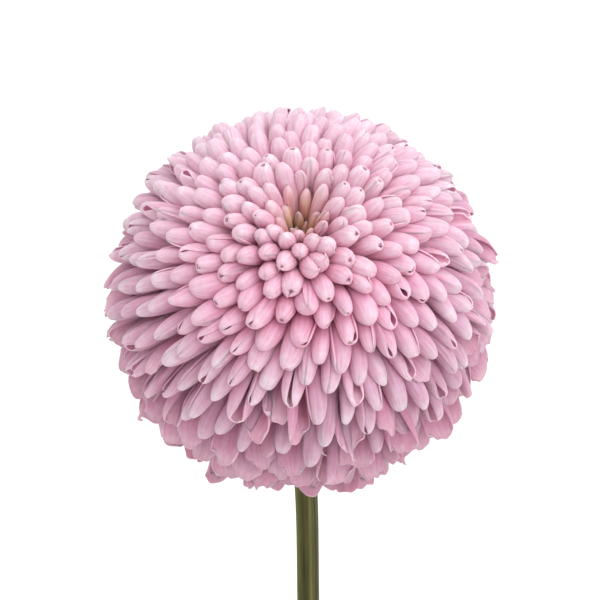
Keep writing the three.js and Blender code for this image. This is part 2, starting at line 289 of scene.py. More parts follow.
petalRamps = {
    # what each follows, then its colours or grey levels
    # paler near the tip and deeper at the root: partly the petal's own colour, partly a painted highlight on
    # the bulge near the tip and painted shade at the root
    "fresh": ("along", [(0.1, "#f4bbd1"), (0.42, "#f5c3d8"), (0.8, "#f9e1ea"), (1.0, "#f6d7e1")]),
    # outer petals duller and mauve: partly their age, partly painted shade for the bloom's shaded lower side
    "older": ("along", [(0.1, "#b6829e"), (0.5, "#c094aa"), (0.84, "#d7bdca"), (1.0, "#c9b5bf")]),
    "crown": ("along", [(0.15, "#a8965c"), (0.42, "#e6c692"), (0.62, "#f6d8bf"), (0.88, "#f9d6da")]),
    "blush": ("age", [(0.08, "#fbdce4"), (0.27, "#fbdfe9"), (0.42, "#ffffff")]),
    "ageingAndShade": ("age", [(0.28, 0.0), (0.64, 1.0)]),
    # painted light: petals higher on the bloom are painted paler, standing for the light from above
    "paintedTopLight": ("sun", [(0.0, 0.0), (1.0, 0.45)]),
    "veinTint": ("veins", [(0.36, "#e6bccd"), (0.6, "#ffffff")]),
    "mottling": ("mottle", [(0.3, "#f2dbe4"), (0.7, "#ffffff")]),
    "shade": ("tone", [(0.0, "#ead6de"), (1.0, "#ffffff")]),
    # painted shade: a dark mauve spot at the tip for the shade inside a pore's opening
    "pore": ("mark", [(0.42, 0.0), (0.6, 1.0)]),
}


def petalSpacing(angle):
    fast = bloom["crownShare"] * math.exp(-angle / math.radians(bloom["crownGrowth"]))
    slow = (1 - bloom["crownShare"]) * math.exp(-angle / math.radians(bloom["sideGrowth"]))
    return bloom["widestSpacing"] - (bloom["widestSpacing"] - bloom["closestSpacing"]) * (fast + slow)


def petalRoom(angle):  # the part of the ball's skin that one petal has to itself
    return math.sqrt(3) / 2 * petalSpacing(angle) ** 2


def spiralAngles():  # angles from the crown at which the spiral sets one petal after another
    angles = []
    step = math.radians(0.05)
    room = 0.5
    angle = step / 2
    while angle < math.radians(bloom["lastPetalAngle"]):
        room += 2 * math.pi * bloom["radius"] ** 2 * math.sin(angle) * step / petalRoom(angle)
        if room >= 1:
            room -= 1
            angles.append(angle)
        angle += step
    return angles


def ropeAt(angle):  # width of the ropes of petals that the eye follows, and how far they slant sideways
    ring = 2 * math.pi * bloom["radius"] * math.sin(angle)
    wanted = min(bloom["ropeWidth"] * petalSpacing(angle), petal["quillWidth"])
    total = width = slant = 0
    for count in bloom["ropes"]:
        turned = math.remainder(count * goldenAngle, math.tau) / math.tau * ring
        slope = math.atan2(turned, petalRoom(angle) * count / ring)
        broad = ring / count * math.cos(slope)
        weight = math.exp(-((math.log(broad / wanted) / bloom["ropeChoice"]) ** 2)) + 1e-9
        total += weight
        width += weight * broad
        slant += weight * slope
    return mix(wanted, width / total, bloom["ropeTrust"]), slant / total


def directionAt(angle, turn):
    return Vector((math.sin(angle) * math.cos(turn), math.sin(angle) * math.sin(turn), math.cos(angle)))


def tipRadius(angle):
    dip = math.exp(-((math.degrees(angle) / bloom["crownDipAngle"]) ** bloom["crownDipPower"]))
    return bloom["radius"] - bloom["tipInset"] - bloom["crownDip"] * dip


def petalPlan(index, angle, kind, draw):  # what one petal looks like, from its place and a few random draws
    degrees = math.degrees(angle)
    young = 1 - smoothStep(degrees, *bloom["young"])
    opened = smoothStep(degrees + draw.gauss(0, bloom["openingScatter"]), *bloom["opening"])
    width, slant = ropeAt(angle)
    crowding = petal["crowding"] if degrees > petal["crowdedFrom"] else 1
    broad = mix(width * crowding, petalSpacing(angle) * petal["openWidth"], opened)
    drift = bloom["scatter"] * petalSpacing(angle) / bloom["radius"]
    turn = index * goldenAngle + draw.gauss(0, drift) / math.sin(angle)
    tip = directionAt(angle + draw.gauss(0, drift), turn)
    out = draw.gauss(0, mix(*petal["tipScatter"], opened)) - curveValue(kind["tuck"], degrees)
    tip *= tipRadius(angle) + out * mm
    porous = smoothStep(degrees, *bloom["pores"][:2]) * (1 - smoothStep(degrees, *bloom["pores"][2:]))
    pore = draw.random() < bloom["poreShare"] * porous
    bend = curveValue(kind["tipLean"], degrees) - curveValue(kind["rootLean"], degrees)
    bend = math.radians(bend + draw.gauss(0, mix(*petal["bendScatter"], opened)))
    slant *= bloom["ropeSlant"] * (1 - opened)
    seamsAway = mix(*bloom["seamsAway"], smoothStep(degrees, *bloom["seams"]))
    away = math.pi if draw.random() < seamsAway and opened < 0.25 else 0
    # painted light: the tip's height sets how much paler its petal is painted
    tipHeightForPaintedLight = (headPlace @ tip - head["centre"]).z
    return {
        "angle": angle,
        "turn": turn,
        "tip": tip,
        "rootAngle": angle + math.radians(curveValue(kind["rootLean"], degrees)),
        "bend": math.copysign(max(0.01, abs(bend)), bend),
        "slant": math.tan(slant + math.radians(draw.gauss(0, mix(*petal["slantScatter"], opened)))),
        "length": curveValue(kind["lengths"], degrees) * mm
        * (1 + draw.gauss(0, mix(*petal["lengthScatter"], opened))),
        "half": broad / 2 * (1 + draw.gauss(0, petal["widthScatter"])),
        "roll": away + math.radians(draw.gauss(0, mix(*petal["rollScatter"], opened))),
        "rootWidth": mix(kind["rootWidth"], petal["youngRoot"], young),
        "opened": opened,
        "age": degrees / bloom["lastPetalAngle"],
        "young": young,
        "sun": smoothStep(tipHeightForPaintedLight, *[share * bloom["radius"] for share in bloom["paintedLightHeights"]]),
        "slit": max(0.0, draw.gauss(*petal["slit"])) * smoothStep(degrees, *bloom["slits"]),
        "slitAt": draw.uniform(*petal["slitAt"]),
        "capTurn": math.radians(mix(petal["capTurn"], draw.uniform(*petal["openCapTurn"]), opened)),
        "blunt": mix(
            curveValue(petal["bluntness"], degrees) + draw.gauss(0, petal["bluntnessScatter"]),
            draw.uniform(*petal["openBluntness"]),
            opened,
        ),
        "crater": (petal["pore"] if pore else petal["noPore"]) * (1 - opened),
        # how strong a pore is: it sets the tip's lobes and its painted shade
        "mark": draw.uniform(0.75, 1.0) if pore and opened < 0.5 else 0,
        "hood": draw.uniform(0.0, petal["hood"]) * (1 - opened),
        "squash": mix(draw.uniform(*petal["squash"][0]), draw.uniform(*petal["squash"][1]), opened),
        "facets": draw.uniform(*petal["facets"]),
        "skewed": draw.gauss(0, petal["skew"]),
        "tooth": draw.uniform(0, math.tau),
        "ragged": mix(petal["quillRagged"], draw.uniform(*petal["ragged"]), opened) * mm,
        "notch": draw.uniform(0, petal["notch"]) * opened * mm,
        "notchAt": draw.uniform(-petal["notchAt"], petal["notchAt"]),
        "wave": mix(petal["quillWave"], draw.uniform(*petal["wave"]), opened) * mm,
        "tone": draw.random(),
        "lapSide": draw.choice(petal["lapSide"]),
    }


def petalLine(plan, reach):  # a point on the petal's bent middle line, and the ways along it and to the crown
    lean = plan["rootAngle"] + plan["bend"] * reach
    last = plan["rootAngle"] + plan["bend"]
    outward = directionAt(math.pi / 2, plan["turn"])
    sideways = directionAt(math.pi / 2, plan["turn"] + math.pi / 2)
    back = outward * (math.cos(lean) - math.cos(last)) + Vector((0, 0, math.sin(last) - math.sin(lean)))
    back += sideways * plan["slant"] * (math.cos(lean - plan["angle"]) - math.cos(last - plan["angle"]))
    point = plan["tip"] - back * plan["length"] / plan["bend"]
    axis = directionAt(lean, plan["turn"]) + sideways * plan["slant"] * math.sin(lean - plan["angle"])
    axis.normalize()
    toCrown = -directionAt(lean + math.pi / 2, plan["turn"])
    toCrown = (toCrown - axis * toCrown.dot(axis)).normalized()
    return point, axis, toCrown


def petalPoint(plan, across, along):  # across -1 to 1 round the quill, along 0 at its root to 1 at its tip
    opened = plan["opened"]
    shaft = petal["shaft"]
    belly = mix(*petal["belly"], opened)
    if along < shaft:  # a slim shaft up to the belly, then a blunt egg-shaped end
        reach = along / shaft * belly
        wide = mix(plan["rootWidth"], 1.0, smoothStep(along, 0, shaft))
        capShare = 0
    else:
        capShare = (along - shaft) / (1 - shaft)
        swing = capShare * plan["capTurn"]
        reach = belly + (1 - belly) * math.sin(swing) / math.sin(plan["capTurn"])
        wide = math.cos(swing) ** plan["blunt"]

    # The section: a closed or open roll, with one edge under the other
    lap = 1 - smoothStep(along, *petal["lap"])
    gap = plan["slit"] * math.exp(-((along - plan["slitAt"]) / petal["slitLength"]) ** 2)
    closedWrap = math.pi * (1 + 0.05 * lap - gap)
    openWrap = math.pi * mix(0.85, 0.5, smoothStep(along, 0.15, 0.9))
    wrap = mix(closedWrap, openWrap, opened)
    radius = plan["half"] * wide / max(0.6, math.sin(min(wrap, math.pi / 2)))
    radius *= 1 + plan["lapSide"] * across * mix(lap, 1, opened)
    lobes = plan["facets"] + mix(0.1, 0.5, plan["mark"]) * smoothStep(along, 0.86, 0.96) * (1 - opened)
    radius *= 1 + lobes * math.cos(3 * math.pi * across + plan["tooth"])
    middle = plan["squash"] * (1 + math.cos(wrap)) / 2
    depth = radius * (middle - plan["squash"] * math.cos(wrap * across))
    depth += plan["hood"] * plan["half"] * capShare ** 2
    sideways = radius * math.sin(wrap * across) + plan["skewed"] * plan["half"] * capShare ** 2
    depth += plan["wave"] * smoothStep(abs(across), 0.3, 1) * math.sin(6 * along + 3 * across + plan["tooth"])

    # The tip's rounded end with its pore, teeth and notch
    atTip = smoothStep(along, 0.7, 1)
    pulled = atTip * opened * across ** 2 * 0.75 * plan["half"]
    pulled += smoothStep(along, 0.9, 1) * plan["crater"] * plan["half"]
    pulled -= atTip * (abs(math.sin(1.5 * math.pi * across + plan["tooth"])) - 0.5) * plan["ragged"]
    pulled += atTip * plan["notch"] * math.exp(-((across - plan["notchAt"]) / 0.2) ** 2)
    point, axis, toCrown = petalLine(plan, reach)
    side = toCrown.cross(axis)
    inner = toCrown * math.cos(plan["roll"]) + side * math.sin(plan["roll"])
    return point - axis * pulled + inner * depth + inner.cross(axis) * sideways


def addPetal(shape, layers, uv, plan):
    made = bmesh.ops.create_grid(shape, x_segments=petal["across"], y_segments=petal["along"], size=1)
    for vertex in made["verts"]:
        across = vertex.co.x
        along = 1 - ((1 - vertex.co.y) / 2) ** 1.5  # rows crowd together towards the tip
        vertex[layers["along"]] = along
        # the pore's painted shade, at the very tip
        vertex[layers["mark"]] = plan["mark"] * smoothStep(along, 0.9, 1)
        for name in ("age", "young", "tone", "sun"):
            vertex[layers[name]] = plan[name]
        for loop in vertex.link_loops:  # in mm, each petal on a place of its own in the pattern
            loop[uv].uv = (across * plan["half"] / mm * 2 + 40 * plan["tone"], along * plan["length"] / mm)
        vertex.co = headPlace @ petalPoint(plan, across, along)


def petalMaterial(name, deepening):
    # Ray petal tissue, thin and watery with a satin skin: soft light passes in. Tips are paler and roots
    # deeper, partly the petal's own colour and partly painted highlight and painted shade
    material, tree, shader = newMaterial(name, {
        "Roughness": 0.5,
        "IOR": 1.4,
        "Subsurface Weight": 0.6,
        "Subsurface Radius": (1.0, 0.6, 0.7),
        "Subsurface Scale": 2.0 * mm,
        "Sheen Weight": 0.15,
        "Sheen Roughness": 0.4,
    })
    value = {}
    for layer in petal["values"]:
        value[layer] = addNode(tree, "Attribute", {"attribute_name": layer}).outputs["Fac"]

    # Veins run along the petal about half a millimetre apart; drawn a little coarser than life
    uv = addNode(tree, "UVMap", {"uv_map": "petalSkin"})
    stretched = addNode(tree, "Mapping", {"Vector": uv, "Scale": (1.7, 0.12, 1)})
    value["veins"] = addNode(tree, "TexNoise", {"Vector": stretched, "Scale": 1.0, "Detail": 2.0})
    value["mottle"] = addNode(tree, "TexNoise", {"Vector": uv, "Scale": 0.45, "Detail": 3.0})
    ramp = {}
    for tint, (source, stops) in petalRamps.items():
        ramp[tint] = addNode(tree, "ValToRGB", {"Fac": value[source], "stops": stops})
    colour = layTints(tree, ramp["fresh"], [
        # outer petals mixed towards duller mauve: partly age, partly painted shade on the bloom's lower side
        ("MIX", ramp["ageingAndShade"], ramp["older"]),
        ("MULTIPLY", 1.0, ramp["blush"]),
        # painted light: a pale pink mixed in by height, for the light falling from above
        ("MIX", ramp["paintedTopLight"], linearColour("#f5e4ec")),
        ("MIX", value["young"], ramp["crown"]),
        ("MULTIPLY", 0.45, ramp["veinTint"]),
        ("MULTIPLY", 0.5, ramp["mottling"]),
        ("MULTIPLY", 0.6, ramp["shade"]),
        ("MULTIPLY", deepening, linearColour("#f0bccf")),
        # painted shade: the dark inside of a pore's opening, painted on the tip
        ("MIX", ramp["pore"], linearColour("#b07f8c")),
    ])
    finishSurface(tree, shader, colour, value["veins"], 0.12 * mm, 0.5)
    return material


def makePetals():
    outside = petalMaterial("petal tissue, outer skin", 0.0)
    inside = petalMaterial("petal tissue, inner skin", 0.35)
    draw = random.Random(bloom["seed"])
    plans = []
    for index, angle in enumerate(spiralAngles()):
        for kind in (hanging, spreading):
            if kind["from"] <= math.degrees(angle) < kind["to"]:
                plans.append(petalPlan(index, angle, kind, draw))
    first = 0
    for number, end in enumerate(bloom["pieceEnds"], 1):
        shape = bmesh.new()
        layers = floatLayers(shape, petal["values"])
        uv = shape.loops.layers.uv.new("petalSkin")
        chosen = [plan for plan in plans if first <= plan["age"] * bloom["lastPetalAngle"] < end]
        for plan in chosen:
            addPetal(shape, layers, uv, plan)
        makePiece(f"petals_{number}", shape, [outside, inside], "bloom", [
            ("SUBSURF", {"levels": 1, "render_levels": 1}),
            ("SOLIDIFY", {"thickness": petal["thickness"], "offset": -1, "material_offset": 1}),
        ])
        first = end
        print(f"petals up to {end} degrees from the crown: {len(chosen)}")


core = {                           # the flesh inside, that the petals stand on
    "radii": [(0, 26), (26, 34), (85, 34), (115, 25), (145, 25), (168, 32), (180, 32)],  # degrees, mm
    "young": (8, 20),              # degrees over which its green middle gives way to rose
    "subdivisions": 5,
}


def makeCore():
    # Receptacle flesh with the crowded petal roots, in deep shade: rose, greener in the crown
    material, tree, shader = newMaterial("receptacle flesh", {"Roughness": 0.8})
    place = addNode(tree, "TexCoord", {}).outputs["Object"]
    grain = addNode(tree, "TexNoise", {"Vector": place, "Scale": 700.0})  # root bases, 1.4 mm apart
    rose = addNode(tree, "ValToRGB", {"Fac": grain, "stops": [(0.3, "#d68fae"), (0.7, "#e6a8c3")]})
    green = addNode(tree, "ValToRGB", {"Fac": grain, "stops": [(0.3, "#78732f"), (0.7, "#a29752")]})
    young = addNode(tree, "Attribute", {"attribute_name": "young"}).outputs["Fac"]
    tree.links.new(layTints(tree, rose, [("MIX", young, green)]), shader.inputs["Base Color"])
    shape = bmesh.new()
    bmesh.ops.create_icosphere(shape, subdivisions=core["subdivisions"], radius=1)
    young = shape.verts.layers.float.new("young")
    for vertex in shape.verts:
        direction = vertex.co.normalized()
        degrees = math.degrees(math.acos(max(-1, min(1, direction.z))))
        vertex[young] = 1 - smoothStep(degrees, *core["young"])
        vertex.co = headPlace @ (direction * curveValue(core["radii"], degrees) * mm)
    makePiece("bloomCore", shape, [material], "bloom")


makeCore()
makePetals()

# Calyx: the cup of overlapping bracts under the bloom. Heights are along the head's axis

calyx = {
    "cup": [(0, -42.5), (3.5, -42.5), (6.6, -40.6), (9.2, -37.8), (9.9, -34.5), (9.8, -31.5), (0, -31.5)],
    "rows": [
        # bracts, base height, length, half width, flare, in mm
        (13, -39.2, 10.2, 2.9, 0.7),
        (12, -40.8, 8.2, 2.8, 1.0),
        (10, -42.0, 6.4, 2.3, 1.4),
    ],
    "standOff": 0.35,              # mm from the cup to the inmost row
    "rowStep": 0.25,               # mm from each row to the next
    "hollow": 0.5,                 # mm that a bract's edges bend in at its base
    "turnScatter": 0.05,
    "sizeScatter": 0.06,
    "thickness": 0.45 * mm,
    "margin": 0.72,                # share of the half width where the papery edge begins
    "across": 6,
    "along": 8,
    "sides": 48,
    "seed": 5,
}


def cupRadius(height):  # in mm, at a height in mm
    wall = [(z, radius) for radius, z in calyx["cup"][1:-1]]
    return curveValue(wall, height)


def makeCalyx():
    # Bract tissue: leathery green scales with thin dry edges, so the rows read as overlapping lines
    material, tree, shader = newMaterial("green bract tissue with papery margin", {
        "Roughness": 0.6,
        "Subsurface Weight": 0.1,
        "Subsurface Radius": (0.6, 1.0, 0.3),
        "Subsurface Scale": 0.6 * mm,
        "Sheen Weight": 0.2,
        "Sheen Roughness": 0.5,
    })
    across = addNode(tree, "Attribute", {"attribute_name": "across"}).outputs["Fac"]
    along = addNode(tree, "Attribute", {"attribute_name": "along"}).outputs["Fac"]
    place = addNode(tree, "TexCoord", {}).outputs["Object"]
    grain = addNode(tree, "TexNoise", {"Vector": place, "Scale": 900.0, "Detail": 3.0})  # 1.1 mm
    stops = [(0.0, "#43552a"), (0.6, "#5d7038"), (1.0, "#77804a")]
    green = addNode(tree, "ValToRGB", {"Fac": along, "stops": stops})
    speckle = addNode(tree, "ValToRGB", {"Fac": grain, "stops": [(0.3, "#c9d0b4"), (0.7, "#ffffff")]})
    stops = [(calyx["margin"] - 0.06, 0.0), (calyx["margin"] + 0.1, 1.0)]
    edge = addNode(tree, "ValToRGB", {"Fac": across, "stops": stops})
    colour = layTints(tree, green, [("MULTIPLY", 0.7, speckle), ("MIX", edge, linearColour("#a3906a"))])
    finishSurface(tree, shader, colour, grain, 0.1 * mm, 0.4)

    shape = bmesh.new()
    layers = floatLayers(shape, ("across", "along"))
    spinProfile(shape, [(radius * mm, z * mm) for radius, z in calyx["cup"]], calyx["sides"])
    draw = random.Random(calyx["seed"])
    for row, (count, base, length, half, flare) in enumerate(calyx["rows"]):
        for i in range(count):
            made = bmesh.ops.create_grid(shape, x_segments=calyx["across"], y_segments=calyx["along"], size=1)
            turn = math.tau * (i + 0.5 * row) / count + draw.gauss(0, calyx["turnScatter"])
            grown = draw.gauss(1, calyx["sizeScatter"])
            for vertex in made["verts"]:
                side, along = vertex.co.x, (vertex.co.y + 1) / 2
                vertex[layers["across"]] = abs(side)
                vertex[layers["along"]] = along
                wide = half * grown * math.sin(math.pi * mix(0.3, 0.97, along)) ** 0.7
                z = base + along * length * grown
                radius = cupRadius(z) + calyx["standOff"] + calyx["rowStep"] * row + flare * along ** 3
                radius -= calyx["hollow"] * side * side * (1 - along)
                spread = turn + side * wide / max(radius, 4.5)
                vertex.co = Vector((radius * math.cos(spread), radius * math.sin(spread), z)) * mm
            faces = unique(face for vertex in made["verts"] for face in vertex.link_faces)
            bmesh.ops.recalc_face_normals(shape, faces=faces)
            bmesh.ops.solidify(shape, geom=faces, thickness=calyx["thickness"])
    bmesh.ops.transform(shape, matrix=headPlace, verts=shape.verts)
    bmesh.ops.recalc_face_normals(shape, faces=shape.faces)
    makePiece("calyxBracts", shape, [material], "calyx")


makeCalyx()
print("calyx made")

# Where the leaves stand, which the stem needs too, since it swells at each joint

leaves = {
    "count": 12,
    "firstHeight": 116 * mm,
    "lastHeight": 222 * mm,
    "firstTurn": 196,              # degrees
    "turn": 137.5,
    "longest": 104 * mm,
    "shortest": 44 * mm,
    "shortening": 1.7,             # more keeps more of the lower leaves long
    "firstRise": 42,               # degrees above level where the lowest one leaves the stem
    "lastRise": 54,
    "twist": 7,                    # scatter, in degrees
    "standOff": 3.2 * mm,          # from the stem's middle line
}
leaf = {
    # base to tip: share of the length, and half width as a share of the widest
    "outline": [
        (0.0, 0.06), (0.12, 0.05), (0.22, 0.07), (0.27, 0.36), (0.33, 0.66), (0.36, 0.7), (0.4, 0.44),
        (0.44, 0.5), (0.49, 0.86), (0.54, 1.0), (0.58, 0.96), (0.61, 0.58), (0.65, 0.6), (0.71, 0.82),
        (0.76, 0.78), (0.79, 0.5), (0.85, 0.53), (0.91, 0.42), (0.96, 0.22), (1.0, 0.03),
    ],
    "halfWidth": 0.3,              # widest half width, as a share of the length
    "thickness": 0.7 * mm,
    "stalkShare": 0.24,
    "stalkRadius": 1.25 * mm,
    "stalkSides": 10,
    "stalkRings": 30,
    "sag": 2,                      # degrees that its weight takes off its rise
    "droop": 78,                   # degrees that it bends down from stem to tip
    "fold": 16,                    # degrees that each half is folded up along the midrib
    "lobeSweep": 0.42,
    "veins": (0.215, 0.3, 0.39, 0.47, 0.55, 0.63, 0.71, 0.8),  # where they leave the midrib
    "veinSlant": 0.13,             # how much further along they reach the edge
    "veinDepth": 0.45 * mm,
    "veinWidth": 0.011,            # as a share of the length
    "wave": 1.3 * mm,
    "waves": 4.2,                  # from stem to tip
    "teeth": 0.045,                # depth of the fine teeth, as a share of the half width
    "across": 12,
    "along": 76,
    "seed": 21,
}
stem = {
    "lowerLine": [                 # mm, from the soil up to where the bend under the head begins
        (0, 0, 70.8), (0, 0, 105), (0.8, 0.5, 160), (0.9, 1.2, 215), (0.4, 1.3, 270), (-0.1, 0.1, 305),
    ],
    "lineSteps": 16,               # between each two points
    "radius": 3.3 * mm,
    "neckRadius": 3.6 * mm,
    "neckFrom": 0.93,              # as a share of the length
    "ribs": 5,
    "ribDepth": 0.5 * mm,
    "ribPower": 1.4,               # more makes the grooves narrower
    "fineRibs": 15,
    "fineRibDepth": 0.11 * mm,
    "swelling": 0.8 * mm,          # at a leaf's joint
    "swellingLength": 4 * mm,
    "rootFlare": 1.3 * mm,         # where it comes out of the soil
    "flareFrom": 0.1,              # height
    "flareLength": 9 * mm,
    "sides": 45,
    "rings": 120,
}


def softLine(points, stepsEach):  # a centripetal Catmull-Rom line through the points
    ends = [2 * points[0] - points[1], *points, 2 * points[-1] - points[-2]]
    line = []
    for before, start, end, after in zip(ends, ends[1:], ends[2:], ends[3:]):
        first = (start - before).length ** 0.5
        middle = (end - start).length ** 0.5
        last = (after - end).length ** 0.5
        leave = (start - before) / first - (end - before) / (first + middle) + (end - start) / middle
        arrive = (end - start) / middle - (after - start) / (middle + last) + (after - end) / last
        leave *= middle
        arrive *= middle
        for step in range(stepsEach):
            t = step / stepsEach
            bent = (3 * (end - start) - 2 * leave - arrive) * t ** 2
            line.append(start + leave * t + bent + (2 * (start - end) + leave + arrive) * t ** 3)
    return line + [points[-1]]


neckFoot = calyx["cup"][0][1] * mm
stemPoints = [Vector(point) * mm for point in stem["lowerLine"]] + [
    headPlace @ Vector((0, 0, neckFoot - 27 * mm)) + Vector((0, -2.2, 0)) * mm,
    headPlace @ Vector((0, 0, neckFoot - 12 * mm)),
    headPlace @ Vector((0, 0, neckFoot - 0.1 * mm)),
]
stemLine = softLine(stemPoints, stem["lineSteps"])
stemReach = [0.0]
for start, end in zip(stemLine, stemLine[1:]):
    stemReach.append(stemReach[-1] + (end - start).length)


def stemPlace(share):
    reach = min(1, max(0, share)) * stemReach[-1]
    i = min(len(stemLine) - 2, bisect.bisect_left(stemReach, reach, 1) - 1)
    return stemLine[i].lerp(stemLine[i + 1], (reach - stemReach[i]) / (stemReach[i + 1] - stemReach[i]))


def leafPlans():
    draw = random.Random(leaf["seed"])
    plans = []
    for i in range(leaves["count"]):
        share = i / (leaves["count"] - 1)
        height = mix(leaves["firstHeight"], leaves["lastHeight"], share)
        at = next(point for point in stemLine if point.z >= height).copy()
        at.z = height
        twist = math.radians(draw.gauss(0, leaves["twist"]))
        draw.random()  # not used, but without it the leaves would come out otherwise
        plans.append({
            "at": at,
            "turn": math.radians(leaves["firstTurn"] + leaves["turn"] * i),
            "length": mix(leaves["longest"], leaves["shortest"], share ** leaves["shortening"]),
            "rise": mix(leaves["firstRise"], leaves["lastRise"], share),
            "twist": twist,
            "wavePhase": draw.uniform(0, math.tau),
            "tone": draw.random(),
        })
    return plans


leafPlaces = leafPlans()

# Stem

def stemPoint(share, turn):
    middle = stemPlace(share)
    tangent = (stemPlace(share + 0.01) - stemPlace(share - 0.01)).normalized()
    side = (Vector((1, 0, 0)) - tangent * tangent.x).normalized()
    radius = mix(stem["radius"], stem["neckRadius"], smoothStep(share, stem["neckFrom"], 1))
    radius -= stem["ribDepth"] * (0.5 - 0.5 * math.cos(stem["ribs"] * turn)) ** stem["ribPower"]
    radius += stem["fineRibDepth"] * math.cos(stem["fineRibs"] * turn + 9 * share)
    radius += stem["rootFlare"] * math.exp(-max(0, middle.z - stem["flareFrom"]) / stem["flareLength"])
    for plan in leafPlaces:
        near = math.exp(-(((middle.z - plan["at"].z) / stem["swellingLength"]) ** 2))
        radius += stem["swelling"] * near * (0.45 + 0.55 * math.cos(turn - plan["turn"]))
    return middle + (side * math.cos(turn) + tangent.cross(side) * math.sin(turn)) * radius


def makeStem():
    # Green stem skin: matte, finely downy, paler on its lengthwise ribs and darker in the grooves, partly its
    # own colour and partly painted shade, turning corky brown at its foot
    material, tree, shader = newMaterial("downy ribbed stem skin", {
        "Roughness": 0.65,
        "Specular IOR Level": 0.3,
        "Subsurface Weight": 0.08,
        "Subsurface Radius": (0.5, 0.8, 0.2),
        "Subsurface Scale": 0.8 * mm,
        "Sheen Weight": 0.04,
        "Sheen Roughness": 0.6,
    })
    ridge = addNode(tree, "Attribute", {"attribute_name": "ridge"}).outputs["Fac"]
    place = addNode(tree, "TexCoord", {}).outputs["Object"]
    drawn = addNode(tree, "Mapping", {"Vector": place, "Scale": (900, 900, 60)})  # streaks 1.1 by 17 mm
    streaks = addNode(tree, "TexNoise", {"Vector": drawn, "Scale": 1.0, "Detail": 3.0})
    # darker in the grooves, lighter on the ribs: partly the stem's own colour, partly painted shade in the
    # grooves
    stops = [(0.15, "#3a390b"), (0.5, "#4d4b14"), (0.95, "#6d6a33")]
    skin = addNode(tree, "ValToRGB", {"Fac": ridge, "stops": stops})
    streakTint = addNode(tree, "ValToRGB", {"Fac": streaks, "stops": [(0.35, "#b9b78f"), (0.65, "#ffffff")]})
    height = addNode(tree, "SeparateXYZ", {0: place}).outputs["Z"]
    corky = addNode(tree, "MapRange", {"Value": height, "From Min": 0.14, "From Max": 0.108})
    colour = layTints(tree, skin, [("MULTIPLY", 0.7, streakTint), ("MIX", corky, linearColour("#6d5a3a"))])
    finishSurface(tree, shader, colour, streaks, 0.2 * mm, 0.8)

    shape = bmesh.new()
    layers = floatLayers(shape, ("turn", "along", "ridge"))
    tube = growTube(shape, layers, stem["sides"], stem["rings"], stemPoint)
    for vertex in tube:
        ridge = 0.5 + 0.34 * math.cos(stem["ribs"] * vertex[layers["turn"]])
        vertex[layers["ridge"]] = ridge + 0.16 * math.cos(stem["fineRibs"] * vertex[layers["turn"]])
    makePiece("flowerStem", shape, [material], "stem")


makeStem()
print("stem made")

# Leaves

def leafMidline(plan):  # where the midrib runs, in the leaf's own plane, with its slope
    steps = leaf["along"]
    place = Vector((0, 0))
    line = []
    for i in range(steps + 1):
        slope = math.radians(plan["rise"] - leaf["sag"] - leaf["droop"] * (i / steps) ** 0.9)
        line.append((place.copy(), slope))
        place += Vector((math.cos(slope), math.sin(slope))) * plan["length"] / steps
    return line


def leafPlace(plan, place, slope, forward, across, up):  # from a place on the midrib to the plant's own frame
    point = Vector((
        place.x + forward * math.cos(slope) - up * math.sin(slope),
        across,
        place.y + forward * math.sin(slope) + up * math.cos(slope),
    ))
    foot = plan["at"] + Vector((math.cos(plan["turn"]), math.sin(plan["turn"]), 0)) * leaves["standOff"]
    return foot + Matrix.Rotation(plan["turn"], 3, "Z") @ point


def bladePoint(plan, line, side, share):  # side -1 to 1 across the blade, share 0 to 1 along the leaf
    row = round(share * leaf["along"])
    inBlade = smoothStep(share, leaf["stalkShare"] - 0.05, leaf["stalkShare"] + 0.12)
    half = max(curveValue(leaf["outline"], share) * leaf["halfWidth"] * plan["length"], 0.3 * mm)
    half *= 1 + leaf["teeth"] * inBlade * (1 if row % 2 else -1) * abs(side) ** 2
    veinPlace = share - leaf["veinSlant"] * abs(side)
    nearVein = sum(math.exp(-(((veinPlace - vein) / leaf["veinWidth"]) ** 2)) for vein in leaf["veins"])
    forward = leaf["lobeSweep"] * half * inBlade * abs(side)
    up = half * math.tan(math.radians(leaf["fold"])) * inBlade * abs(side) * (1.15 - 0.35 * abs(side))
    up -= leaf["veinDepth"] * inBlade * nearVein * (1 - abs(side) ** 3)
    up -= leaf["veinDepth"] * inBlade * math.exp(-((side / 0.1) ** 2))
    waved = math.sin(leaf["waves"] * math.tau * share + plan["wavePhase"] + side)
    up += leaf["wave"] * inBlade * side ** 2 * waved
    across = side * half
    twist = plan["twist"] * inBlade * share
    turnedAcross = across * math.cos(twist) - up * math.sin(twist)
    turnedUp = across * math.sin(twist) + up * math.cos(twist)
    return leafPlace(plan, *line[row], forward, turnedAcross, turnedUp)


def stalkPoint(plan, line, share, turn):  # the stalk, which runs on under the blade as its midrib
    reach = share * 0.93
    row = reach * leaf["along"]
    low = min(leaf["along"] - 1, int(row))
    (here, slope), (there, nextSlope) = line[low], line[low + 1]
    place = here.lerp(there, row - low)
    slope = mix(slope, nextSlope, row - low)
    radius = leaf["stalkRadius"] * (plan["length"] / leaves["longest"]) ** 0.4
    radius *= mix(1.0, 0.22, smoothStep(reach, 0.1, 0.95)) * mix(1.35, 1, smoothStep(reach, 0, 0.05))
    sunk = radius * 0.8
    up = math.sin(turn) * radius * mix(0.8, 1, smoothStep(reach, 0.1, 0.4)) - sunk
    return leafPlace(plan, place, slope, 0, math.cos(turn) * radius, up)


